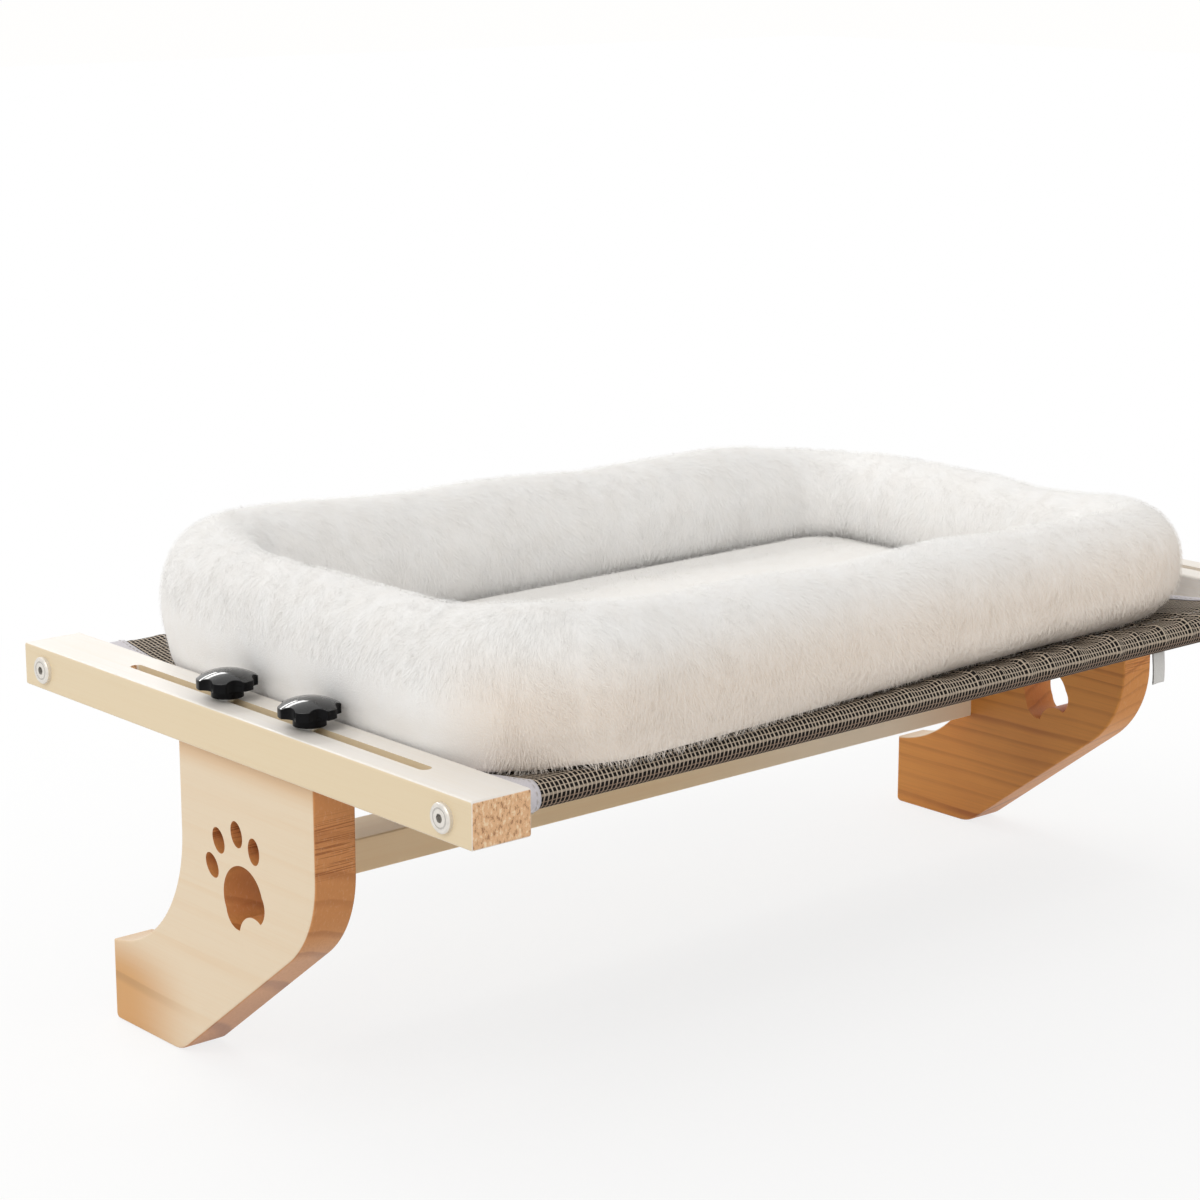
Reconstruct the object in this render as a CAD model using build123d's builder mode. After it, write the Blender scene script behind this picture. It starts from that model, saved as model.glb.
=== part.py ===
# Window perch for a sill: two slotted end boards joined by two rails, a mesh hammock, a plush bed, and a
# sliding carriage of two hooks that clamp under the sill. All lengths are in millimetres.
# X runs from the left end board to the right one, the room is towards -Y and the window towards +Y.
# The origin is midway between the boards, in the plane of their undersides, where the sill carries them.
import os
from math import acos, asin, degrees, sqrt

from build123d import *

os.makedirs("parts", exist_ok=True)

# Frame
perch_length = 660
board_depth = 400
board_width = 36
board_thickness = 24
board_edge_radius = 1.6
overrun = 5

# Slot for the studs, from the front and the rear end of a board
slot_width = 7
slot_front_inset = 55
slot_rear_inset = 84.5

# Cross rails and the threaded plugs in their ends
rail_inset = 21
rail_diameter = 12
rail_wall = 1.2
plug_length = 24
plug_clearance = 0.05

# Screws through the boards into the plugs
screw_diameter = 6
screw_head_diameter = 15
screw_head_height = 2.6
screw_head_chamfer = 0.7
screw_socket_width = 4
screw_socket_depth = 1.8
screw_reach = 19
screw_hole_clearance = 0.25
thread_clearance = 0.05

# Mesh hammock
mesh_thickness = 1.2
sleeve_clearance = 0.2
sling_sag = 14
sling_end_gap = 2
hem_width = 13
hem_extra = 0.4
tab_width = 10
tab_height = 19
tab_thickness = 1
tab_from_right_board = 104

# Clamp hooks
hook_thickness = 26
hook_setback = 132.5
hook_depth = 120.7
hook_height = 177
hook_front_height = 80.2
hook_front_radius = 62
hook_edge_radius = 1.4
notch_radius = 80.8
notch_drop = 51
toe_reach = 72.5
toe_radius = 3
sole_length = 65.5
sole_radius = 22
slide_gap = 0.2

# Paw print cut through each hook, with its outline in shares of the pad's width
paw_setback = 63.8
paw_drop = 75.7
paw_tilt = 23
paw_pad_width = 35.5
paw_toe_width = 10
paw_toe_length = 14.3
paw_top_shares = (0, 0.52)
paw_flank_shares = (0.5, -0.03)
paw_swell_shares = (0.45, -0.29)
paw_lobe_shares = (0.29, -0.4)
paw_dip_shares = (0, -0.25)
paw_toes = (((-0.59, 0.635), 14), ((-0.255, 0.95), 4), ((0.255, 0.95), -4), ((0.59, 0.635), -14))

# Crossbar that ties the hooks together, and its pins
bar_depth = 34
bar_height = 20
bar_drop = 83.2
bar_setback = 7
bar_edge_radius = 1.2
bar_pin_diameter = 5
bar_pin_reach = 18
bar_pin_inset = 3.8
pin_clearance = 0.05
pin_hole_spare = 1

# Star knobs, their studs and the threaded inserts in the hooks
knob_front_inset = 19.6
knob_spacing = 73
knob_diameter = 32
knob_lobes = 6
knob_phase = 42
knob_scallop_radius = 7
knob_scallop_depth = 2.6
knob_lobe_radius = 1.4
knob_hub_diameter = 17
knob_hub_height = 5.2
knob_rim_height = 4.8
knob_dome_height = 4.4
knob_edge_radius = 0.5
stud_diameter = 5.9
stud_grip = 9
stud_collar_diameter = 11
stud_collar_height = 1.5
insert_diameter = 9
insert_length = 13
insert_clearance = 0.05
insert_hole_spare = 5

# Plush bed: its outline over the frame, and the stuffed wall round it
bed_left_overhang = 2
bed_right_gap = 24
bed_front_inset = 4
bed_rear_inset = 28
bed_right_setback = 26
bed_corner_radius = 85
bolster_width = 60
bolster_height = 68
bolster_skirt = 24
base_cloth_thickness = 0.9
soft_clearance = 0.3
cushion_gap = 1
cushion_edge_height = 4
cushion_crown = 6
cushion_drawn_in = 5
# Bolster section: shares of its width from the outer side, and of its height above the boards
outer_skirt_share = 0.38
outer_foot_shares = (0.30, -0.15)
outer_swell_shares = (0.0, 0.38)
outer_shoulder_shares = (0.16, 0.80)
crown_shares = (0.5, 1.0)
inner_shoulder_shares = (0.84, 0.80)
inner_swell_shares = (1.0, 0.38)
inner_foot_shares = (0.84, -0.15)
inner_skirt_share = 0.76

# Places worked out from the sizes above
half_length = perch_length / 2
half_depth = board_depth / 2
board_inner_x = half_length - board_width
board_middle_x = half_length - board_width / 2
rail_y = half_depth - rail_inset
rail_z = board_thickness / 2
rail_bore_radius = rail_diameter / 2 - rail_wall
sleeve_inner_radius = rail_diameter / 2 + sleeve_clearance
sleeve_outer_radius = sleeve_inner_radius + mesh_thickness
mesh_top = rail_z + sleeve_outer_radius
sling_half_length = board_inner_x - sling_end_gap - hem_width
hook_front = hook_setback - half_depth
hook_back = hook_front + hook_depth
hook_inner_x = board_middle_x - hook_thickness / 2
toe_end = hook_back + toe_reach
toe_top = -notch_drop - sqrt(notch_radius**2 - (notch_radius - toe_reach) ** 2)
bar_front = hook_back + bar_setback
bar_pin_place = (bar_front + bar_pin_inset, bar_pin_inset - bar_drop - bar_height)
knob_places = {"front": hook_front + knob_front_inset}
knob_places["rear"] = knob_places["front"] + knob_spacing
bed_left = -board_inner_x - bed_left_overhang
bed_right = board_inner_x - bed_right_gap
bed_front = bed_front_inset - half_depth
bed_rear = half_depth - bed_rear_inset
base_cloth_rise = soft_clearance
bed_floor_rise = base_cloth_rise + base_cloth_thickness + soft_clearance / 2
sides = {"left": -1, "right": 1}
ends = {"front": -1, "rear": 1}


# Writes a finished piece under its own name
def save(piece, label):
    piece.part.label = label
    export_step(piece.part, f"parts/{label}.step")


# A plane square to X, with +Y to its right and +Z up
def side_plane(x):
    return Plane.YZ.offset(x)


# End board: a slotted plank, bored for the two rail screws
def make_board(label, sign):
    slot_front = slot_front_inset - half_depth
    slot_rear = half_depth - slot_rear_inset
    with BuildPart() as board:
        with Locations((sign * board_middle_x, 0, board_thickness / 2)):
            Box(board_width, board_depth, board_thickness)
        fillet(board.edges(), radius=board_edge_radius)
        with BuildSketch(Plane.XY.offset(-overrun)):
            with Locations((sign * board_middle_x, (slot_front + slot_rear) / 2)):
                SlotOverall(slot_rear - slot_front, slot_width, rotation=90)
        extrude(amount=board_thickness + 2 * overrun, mode=Mode.SUBTRACT)
        with BuildSketch(side_plane(sign * board_middle_x - board_width)):
            with Locations((-rail_y, rail_z), (rail_y, rail_z)):
                Circle(screw_diameter / 2 + screw_hole_clearance)
        extrude(amount=2 * board_width, mode=Mode.SUBTRACT)
    save(board, label)


# Rail: a round tube between the inner faces of the boards
def make_rail(label, y):
    with BuildPart() as rail:
        with BuildSketch(side_plane(-board_inner_x)):
            with Locations((y, rail_z)):
                Circle(rail_diameter / 2)
                Circle(rail_bore_radius, mode=Mode.SUBTRACT)
        extrude(amount=2 * board_inner_x)
    save(rail, label)


# Threaded plug seated in one end of a rail
def make_rail_plug(label, sign, y):
    with BuildPart() as plug:
        with BuildSketch(side_plane(sign * board_inner_x)):
            with Locations((y, rail_z)):
                Circle(rail_bore_radius - plug_clearance)
                Circle(screw_diameter / 2 + thread_clearance, mode=Mode.SUBTRACT)
        extrude(amount=-sign * plug_length)
    save(plug, label)


# Flat-headed screw with a hexagon socket, from the outer face of a board into the plug
def make_rail_screw(label, sign, y):
    with BuildPart() as screw:
        with BuildSketch(side_plane(sign * half_length)):
            with Locations((y, rail_z)):
                Circle(screw_head_diameter / 2)
        extrude(amount=sign * screw_head_height)
        head_faces = screw.faces().filter_by(Axis.X).sort_by(Axis.X, reverse=sign > 0)
        chamfer(head_faces[0].edges(), length=screw_head_chamfer)
        with BuildSketch(side_plane(sign * half_length)):
            with Locations((y, rail_z)):
                Circle(screw_diameter / 2)
        extrude(amount=-sign * (board_width + screw_reach))
        with BuildSketch(side_plane(sign * (half_length + screw_head_height))):
            with Locations((y, rail_z)):
                RegularPolygon(screw_socket_width / 2, 6, major_radius=False)
        extrude(amount=-sign * screw_socket_depth, mode=Mode.SUBTRACT)
    save(screw, label)


# Sagging mesh sewn round both rails, thicker by extra on each side where it is a hem
def make_mesh(label, left, right, extra=0):
    top = mesh_top + extra
    bottom = mesh_top - mesh_thickness - extra
    with BuildPart() as mesh:
        with BuildSketch(side_plane(left)):
            with BuildLine():
                upper = ThreePointArc((-rail_y, top), (0, top - sling_sag), (rail_y, top))
                lower = ThreePointArc((-rail_y, bottom), (0, bottom - sling_sag), (rail_y, bottom))
                Line(upper @ 0, lower @ 0)
                Line(upper @ 1, lower @ 1)
            make_face()
            with Locations((-rail_y, rail_z), (rail_y, rail_z)):
                Circle(sleeve_outer_radius + extra)
                Circle(sleeve_inner_radius, mode=Mode.SUBTRACT)
        extrude(amount=right - left)
    save(mesh, label)


# Blank cloth tab sewn under the front sleeve
def make_tab(label):
    with BuildPart() as tab:
        with BuildSketch(Plane.XY.offset(rail_z - sleeve_outer_radius - tab_height)):
            with Locations((board_inner_x - tab_from_right_board, -rail_y)):
                Rectangle(tab_width, tab_thickness)
        extrude(amount=tab_height - sleeve_clearance)
    save(tab, label)


# Paw print about the sketch's own origin: a domed pad over two lobes, with four toes round it
def paw_print():
    def place(shares):
        return (shares[0] * paw_pad_width, shares[1] * paw_pad_width)

    def mirrored(shares):
        return place((-shares[0], shares[1]))

    with BuildSketch() as paw:
        with BuildLine():
            ThreePointArc(mirrored(paw_flank_shares), place(paw_top_shares), place(paw_flank_shares))
            ThreePointArc(place(paw_flank_shares), place(paw_swell_shares), place(paw_lobe_shares))
            ThreePointArc(place(paw_lobe_shares), place(paw_dip_shares), mirrored(paw_lobe_shares))
            ThreePointArc(mirrored(paw_lobe_shares), mirrored(paw_swell_shares), mirrored(paw_flank_shares))
        make_face()
        for shares, turn in paw_toes:
            with Locations(place(shares)):
                Ellipse(paw_toe_width / 2, paw_toe_length / 2, rotation=turn)
    return paw.sketch


# Clamp hook: upright, concave notch for the sill's nose, and a toe that presses on the wall below it
def make_hook(label, sign, paw):
    middle_x = sign * board_middle_x
    arc_size = degrees(acos((notch_radius - toe_reach) / notch_radius))
    with BuildPart() as hook:
        with BuildSketch(side_plane(middle_x - hook_thickness / 2)):
            with BuildLine():
                CenterArc((hook_back + notch_radius, -notch_drop), notch_radius, 180, arc_size)
                FilletPolyline(
                    (toe_end, toe_top),
                    (toe_end, -hook_height),
                    (toe_end - sole_length, -hook_height),
                    (hook_front, -hook_front_height),
                    (hook_front, -slide_gap),
                    (hook_back, -slide_gap),
                    (hook_back, -notch_drop),
                    radius=(toe_radius, sole_radius, hook_front_radius, 0, 0),
                )
            make_face()
        extrude(amount=hook_thickness)
        fillet(hook.faces().filter_by(Axis.X).edges(), radius=hook_edge_radius)
        paw_centre = (middle_x - hook_thickness, hook_front + paw_setback, -paw_drop)
        with BuildSketch(Plane(origin=paw_centre, x_dir=(0, 1, 0), z_dir=(1, 0, 0))):
            add(paw, rotation=-paw_tilt)
        extrude(amount=2 * hook_thickness, mode=Mode.SUBTRACT)
        with BuildSketch(Plane.XY.offset(-slide_gap)):
            with Locations(*[(middle_x, y) for y in knob_places.values()]):
                Circle(insert_diameter / 2 + insert_clearance)
        extrude(amount=-(insert_length + insert_hole_spare), mode=Mode.SUBTRACT)
        with BuildSketch(side_plane(sign * hook_inner_x)):
            with Locations(bar_pin_place):
                Circle(bar_pin_diameter / 2 + pin_clearance)
        extrude(amount=sign * (bar_pin_reach + pin_hole_spare), mode=Mode.SUBTRACT)
    save(hook, label)


# Crossbar with its ends against the inner faces of the hooks
def make_bar(label):
    with BuildPart() as bar:
        with Locations((0, bar_front + bar_depth / 2, -bar_drop - bar_height / 2)):
            Box(2 * hook_inner_x, bar_depth, bar_height)
        fillet(bar.edges().filter_by(Axis.X), radius=bar_edge_radius)
        for sign in sides.values():
            with BuildSketch(side_plane(sign * hook_inner_x)):
                with Locations(bar_pin_place):
                    Circle(bar_pin_diameter / 2 + pin_clearance)
            extrude(amount=-sign * (bar_pin_reach + pin_hole_spare), mode=Mode.SUBTRACT)
    save(bar, label)


# Pin half in a hook and half in the end of the crossbar
def make_bar_pin(label, sign):
    with BuildPart() as pin:
        with BuildSketch(side_plane(sign * hook_inner_x - bar_pin_reach)):
            with Locations(bar_pin_place):
                Circle(bar_pin_diameter / 2)
        extrude(amount=2 * bar_pin_reach)
    save(pin, label)


# Threaded insert sunk in the top of a hook
def make_insert(label, sign, y):
    with BuildPart() as insert:
        with BuildSketch(Plane.XY.offset(-slide_gap)):
            with Locations((sign * board_middle_x, y)):
                Circle(insert_diameter / 2)
                Circle(stud_diameter / 2 + thread_clearance, mode=Mode.SUBTRACT)
        extrude(amount=-insert_length)
    save(insert, label)


# Stud with a collar that bears on the board, from the knob's head down through the insert
def make_stud(label, sign, y):
    place = (sign * board_middle_x, y)
    collar_top = board_thickness + stud_collar_height
    with BuildPart() as stud:
        with BuildSketch(Plane.XY.offset(board_thickness)):
            with Locations(place):
                Circle(stud_collar_diameter / 2)
        extrude(amount=stud_collar_height)
        with BuildSketch(Plane.XY.offset(-slide_gap - insert_length)):
            with Locations(place):
                Circle(stud_diameter / 2)
        extrude(amount=slide_gap + insert_length + collar_top + stud_grip)
    save(stud, label)


# Star knob: a lobed, domed grip over a round hub, bored for the top of its stud
def make_knob(label, sign, y):
    radius = knob_diameter / 2
    place = (sign * board_middle_x, y)
    hub_base = board_thickness + stud_collar_height
    rim_base = hub_base + knob_hub_height
    rim_top = rim_base + knob_rim_height
    dome_radius = (radius**2 + knob_dome_height**2) / (2 * knob_dome_height)
    with BuildPart() as knob:
        with BuildSketch(Plane.XY.offset(rim_base)) as star:
            with Locations(place):
                Circle(radius)
                with PolarLocations(
                    radius + knob_scallop_radius - knob_scallop_depth,
                    knob_lobes,
                    start_angle=knob_phase + 180 / knob_lobes,
                ):
                    Circle(knob_scallop_radius, mode=Mode.SUBTRACT)
            fillet(star.vertices(), radius=knob_lobe_radius)
        extrude(amount=knob_rim_height + knob_dome_height)
        with BuildSketch(Plane(origin=(*place, 0), x_dir=(1, 0, 0), z_dir=(0, -1, 0))):
            with BuildLine():
                dome_angle = degrees(asin(radius / dome_radius))
                dome = JernArc((0, rim_top + knob_dome_height), (1, 0), dome_radius, -dome_angle)
                Polyline(dome @ 1, (radius, rim_base), (0, rim_base), dome @ 0)
            make_face()
        revolve(axis=Axis((*place, 0), (0, 0, 1)), mode=Mode.INTERSECT)
        crown_edges = knob.edges().filter_by(lambda edge: edge.center().Z > rim_base + knob_rim_height / 2)
        rim_edges = crown_edges.filter_by(GeomType.LINE, reverse=True)
        fillet(rim_edges, radius=knob_edge_radius)
        with BuildSketch(Plane.XY.offset(hub_base)):
            with Locations(place):
                Circle(knob_hub_diameter / 2)
        extrude(amount=knob_hub_height)
        with BuildSketch(Plane.XY.offset(hub_base)):
            with Locations(place):
                Circle(stud_diameter / 2 + thread_clearance)
        extrude(amount=stud_grip + thread_clearance, mode=Mode.SUBTRACT)
    save(knob, label)


# Corners of the bed's outline, drawn in from its widest line, from the front left one round to the rear
# left one
def bed_corners(inset):
    left = bed_left + inset
    right = bed_right - inset
    rear = bed_rear - inset
    front_left = bed_front + inset
    front_right = front_left + bed_right_setback
    return (left, front_left), (right, front_right), (right, rear), (left, rear)


# Everything under the hammock's curve raised by rise, as a block to cut or to keep
def under_bed(rise):
    level = mesh_top + rise
    reach = half_depth + overrun
    with BuildPart() as block:
        with BuildSketch(side_plane(-half_length)):
            with BuildLine():
                curve = ThreePointArc((-rail_y, level), (0, level - sling_sag), (rail_y, level))
                Polyline(
                    curve @ 1,
                    (reach, level),
                    (reach, -board_thickness),
                    (-reach, -board_thickness),
                    (-reach, level),
                    curve @ 0,
                )
            make_face()
        extrude(amount=perch_length)
    return block.part


# Stuffed wall: one rounded section led round the bed's outline, resting on the hammock's curve
def make_bolster(label):
    front_left, front_right, rear_right, rear_left = bed_corners(bolster_width / 2)
    middle = Vector(*(Vector(*front_left) + Vector(*front_right)) / 2)
    bend = bed_corner_radius - bolster_width / 2
    along = (Vector(*front_right) - Vector(*front_left)).normalized()

    def place(shares):
        return ((shares[0] - crown_shares[0]) * bolster_width, shares[1] * bolster_height)

    with BuildPart() as bolster:
        with BuildLine() as path:
            FilletPolyline(
                middle,
                front_right,
                rear_right,
                rear_left,
                front_left,
                radius=(0, bend, bend, bend, bend),
                close=True,
            )
        across = Vector(0, 0, 1).cross(along)
        with BuildSketch(Plane(origin=(middle.X, middle.Y, board_thickness), x_dir=across, z_dir=along)):
            with BuildLine():
                foot_out = place(outer_foot_shares)
                foot_in = place(inner_foot_shares)
                shoulder_out = place(outer_shoulder_shares)
                shoulder_in = place(inner_shoulder_shares)
                skirt_out = (place((outer_skirt_share, 0))[0], -bolster_skirt)
                skirt_in = (place((inner_skirt_share, 0))[0], -bolster_skirt)
                Polyline(foot_in, skirt_in, skirt_out, foot_out)
                ThreePointArc(foot_out, place(outer_swell_shares), shoulder_out)
                ThreePointArc(shoulder_out, place(crown_shares), shoulder_in)
                ThreePointArc(shoulder_in, place(inner_swell_shares), foot_in)
            make_face()
        sweep(path=path.wire())
        add(under_bed(bed_floor_rise), mode=Mode.SUBTRACT)
    save(bolster, label)


# Bottom cloth of the bed, lying in the hammock's curve inside the foot of the wall
def make_base_cloth(label):
    inset = outer_skirt_share * bolster_width
    with BuildPart() as cloth:
        with BuildSketch(Plane.XY):
            with BuildLine():
                FilletPolyline(*bed_corners(inset), radius=bed_corner_radius - inset, close=True)
            make_face()
        extrude(amount=board_thickness + soft_clearance)
        add(under_bed(base_cloth_rise + base_cloth_thickness), mode=Mode.INTERSECT)
        add(under_bed(base_cloth_rise), mode=Mode.SUBTRACT)
    save(cloth, label)


# Floor cushion: crowned both ways, with its sides drawn in between the corners
def make_cushion(label):
    inset = bolster_width + cushion_gap
    corners = bed_corners(inset)
    left, front = corners[0]
    right, rear = corners[2]
    edge_z = board_thickness + cushion_edge_height
    top_z = edge_z + cushion_crown
    with BuildPart() as cushion:
        with BuildSketch(Plane.XY) as outline:
            with BuildLine():
                for start, end in zip(corners, corners[1:] + corners[:1]):
                    side = Vector(*end) - Vector(*start)
                    inward = Vector(0, 0, 1).cross(side).normalized() * cushion_drawn_in
                    ThreePointArc(start, (Vector(*start) + Vector(*end)) / 2 + inward, end)
            make_face()
            fillet(outline.vertices(), radius=bed_corner_radius - inset)
        extrude(amount=top_z)
        for plane, low, high in ((Plane.YZ, front, rear), (Plane.XZ, left, right)):
            with BuildSketch(plane):
                with BuildLine():
                    crown = ThreePointArc((low, edge_z), ((low + high) / 2, top_z), (high, edge_z))
                    Polyline(crown @ 1, (high, 0), (low, 0), crown @ 0)
                make_face()
            extrude(amount=half_length, both=True, mode=Mode.INTERSECT)
        add(under_bed(bed_floor_rise), mode=Mode.SUBTRACT)
    save(cushion, label)


make_mesh("hammock_sling", -sling_half_length, sling_half_length)
make_mesh("sling_hem_left", -sling_half_length - hem_width, -sling_half_length, hem_extra)
make_mesh("sling_hem_right", sling_half_length, sling_half_length + hem_width, hem_extra)
make_tab("sling_tab")
make_bar("hook_crossbar")
paw_sketch = paw_print()
for end, end_sign in ends.items():
    make_rail(f"{end}_rail", end_sign * rail_y)
for side, sign in sides.items():
    make_board(f"end_board_{side}", sign)
    make_hook(f"clamp_hook_{side}", sign, paw_sketch)
    make_bar_pin(f"crossbar_pin_{side}", sign)
    for end, end_sign in ends.items():
        make_rail_plug(f"rail_plug_{end}_{side}", sign, end_sign * rail_y)
        make_rail_screw(f"rail_screw_{end}_{side}", sign, end_sign * rail_y)
    for end, y in knob_places.items():
        make_insert(f"threaded_insert_{end}_{side}", sign, y)
        make_stud(f"knob_stud_{end}_{side}", sign, y)
        make_knob(f"star_knob_{end}_{side}", sign, y)
make_base_cloth("bed_base_cloth")
make_cushion("bed_floor_cushion")
make_bolster("bed_bolster")
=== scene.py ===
from math import cos, pi, radians, sin, tau

import bpy
import numpy as np
from mathutils import Euler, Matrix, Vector


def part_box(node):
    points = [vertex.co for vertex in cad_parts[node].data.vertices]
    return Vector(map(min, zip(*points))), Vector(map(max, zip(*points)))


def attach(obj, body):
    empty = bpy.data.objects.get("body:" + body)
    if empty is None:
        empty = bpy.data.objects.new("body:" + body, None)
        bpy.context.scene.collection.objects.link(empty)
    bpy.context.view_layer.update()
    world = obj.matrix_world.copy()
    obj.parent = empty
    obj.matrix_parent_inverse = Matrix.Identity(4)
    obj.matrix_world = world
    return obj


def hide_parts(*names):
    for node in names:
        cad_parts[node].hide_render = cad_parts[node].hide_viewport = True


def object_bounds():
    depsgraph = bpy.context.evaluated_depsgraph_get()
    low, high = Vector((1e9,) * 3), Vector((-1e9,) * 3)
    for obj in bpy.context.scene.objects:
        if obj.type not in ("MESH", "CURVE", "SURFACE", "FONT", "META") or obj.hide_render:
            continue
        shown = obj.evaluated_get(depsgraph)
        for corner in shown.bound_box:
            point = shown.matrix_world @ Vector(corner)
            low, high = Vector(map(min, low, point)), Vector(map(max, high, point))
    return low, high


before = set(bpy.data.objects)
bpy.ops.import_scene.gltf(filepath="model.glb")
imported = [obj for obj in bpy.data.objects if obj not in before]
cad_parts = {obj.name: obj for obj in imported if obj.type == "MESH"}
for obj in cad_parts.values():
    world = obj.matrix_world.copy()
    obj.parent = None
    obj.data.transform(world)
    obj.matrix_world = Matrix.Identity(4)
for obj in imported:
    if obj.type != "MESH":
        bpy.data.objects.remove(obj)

# Lengths are in metres in the frame's axes: X to the right board, Y towards the window, Z up.
cad_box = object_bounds()

MM = 0.001
RNG_SEED = 4821

# Frame and hammock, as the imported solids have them
RAIL_Y = 179 * MM
RAIL_Z = 12 * MM
SLEEVE_RADIUS = 6.85 * MM
BOARD_TOP = 24 * MM
SLING_HALF = 279 * MM
HEM_WIDTH = 13 * MM
PANEL_TOP = 19.4 * MM
SLING_SAG = 14 * MM
SEAM_Y = RAIL_Y - 15 * MM
TUCK_Y = RAIL_Y - 24 * MM
MESH_DROP = 0.55 * MM
HEM_LIFT = 0.75 * MM

# Puckers of the sleeves: their pitch, and in millimetres their height and how far they reach into the
# panel and over the rail
PUCKER_PITCH = 46 * MM
PUCKER_HEIGHT = 2.9
PUCKER_REACH_IN = 18.0
PUCKER_REACH_OVER = 26.0

# Bed outline at its widest line
BED_LEFT = -296 * MM
BED_RIGHT = 270 * MM
BED_FRONT = -196 * MM
BED_REAR = 172 * MM
BED_SETBACK = 26 * MM
BED_CORNER = 85 * MM
WALL_WIDTH = 60 * MM
WALL_FOOT_DEPTH = 62 * MM
FLOOR_CORNER = 24 * MM
FLOOR_SIDE = 1.5 * MM

# Pile: blades for each part of the wall, and the least lean of a blade, as the tangent of its angle from
# the surface's normal
TUFTS = 46000
LEAST_LEAN = 3.0
BLADE_BURIED = 0.15 * MM
FLOOR_TUFT_SHARE = 0.7
# The left knobs travel past the wall here, so that it has no pile below this height and outside this x,
# and ever more of it away from there
KNOB_SIDE = -283 * MM
KNOB_REACH = 50 * MM
KNOB_SIDE_FADE = 8 * MM
KNOB_REACH_FADE = 16 * MM


# Mesh helpers

def make_object(name, points, faces, smooth=True):
    """A mesh object from an array of points and an array of triangles or quads."""
    points = np.asarray(points, np.float32)
    faces = np.asarray(faces, np.int32)
    mesh = bpy.data.meshes.new(name)
    mesh.vertices.add(len(points))
    mesh.vertices.foreach_set("co", points.ravel())
    mesh.loops.add(faces.size)
    mesh.loops.foreach_set("vertex_index", faces.ravel())
    mesh.polygons.add(len(faces))
    mesh.polygons.foreach_set("loop_start", np.arange(0, faces.size, faces.shape[1], dtype=np.int32))
    mesh.polygons.foreach_set("use_smooth", np.full(len(faces), smooth))
    mesh.update(calc_edges=True)
    mesh.validate()
    obj = bpy.data.objects.new(name, mesh)
    bpy.context.scene.collection.objects.link(obj)
    return obj


def grid_faces(rows, columns, wrap_rows=False, wrap_columns=False):
    """Quads over a rows by columns lattice of points stored row by row."""
    r = np.arange(rows if wrap_rows else rows - 1)
    c = np.arange(columns if wrap_columns else columns - 1)
    r, c = (a.ravel() for a in np.meshgrid(r, c, indexing="ij"))
    r1, c1 = (r + 1) % rows, (c + 1) % columns
    return np.stack([r * columns + c, r1 * columns + c, r1 * columns + c1, r * columns + c1], 1)


def set_map(obj, name, coords):
    """A UV map whose corners take their vertex's coordinates."""
    layer = obj.data.uv_layers.new(name=name)
    index = np.empty(len(obj.data.loops), np.int32)
    obj.data.loops.foreach_get("vertex_index", index)
    layer.uv.foreach_set("vector", np.asarray(coords, np.float32)[index].ravel())


def solidify(obj, thickness):
    """Thickness to both sides of a sheet's middle surface."""
    modifier = obj.modifiers.new("thickness", "SOLIDIFY")
    modifier.thickness = thickness
    modifier.offset = 0.0
    modifier.use_even_offset = True


def smooth_noise(x, y, seed, scale, octaves=1):
    """Seeded value noise from -1 to 1 over two arrays of coordinates, with cells of the given size."""
    rng = np.random.default_rng(seed)
    total = np.zeros(np.broadcast(x, y).shape)
    weight = 1.0
    for _ in range(octaves):
        table = rng.uniform(-1, 1, (256, 256))
        gx, gy = x / scale + 1000, y / scale + 1000
        ix, iy = np.floor(gx).astype(int), np.floor(gy).astype(int)
        fx, fy = gx - ix, gy - iy
        fx, fy = fx * fx * (3 - 2 * fx), fy * fy * (3 - 2 * fy)
        x0, x1, y0, y1 = ix % 256, (ix + 1) % 256, iy % 256, (iy + 1) % 256
        low = table[x0, y0] * (1 - fx) + table[x1, y0] * fx
        high = table[x0, y1] * (1 - fx) + table[x1, y1] * fx
        total = total + weight * (low * (1 - fy) + high * fy)
        weight, scale = weight / 2, scale / 2
    return total


def step_between(x, low, high):
    """Smooth step from 0 at low to 1 at high, where low may be the larger."""
    t = np.clip((x - low) / (high - low), 0, 1)
    return t * t * (3 - 2 * t)


# Materials

VARNISH_ROUGHNESS = 0.38
PORE_TONE = (0.34, 0.16, 0.07)
FLECK_TONE = (0.98, 0.80, 0.55)
END_LINE_SHARE = (0.62, 0.5, 0.42)
SCREW_RING = 0.5 * MM
SCREW_GROOVE = 4.8 * MM
WARP_PITCH = 2.8 * MM
WEFT_PITCH = 2.9 * MM
# Painted shade on the lower half of each sleeve, below its seam
LOWER_SLEEVE_SHADE = (0.52, 0.42, 0.38)


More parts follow.
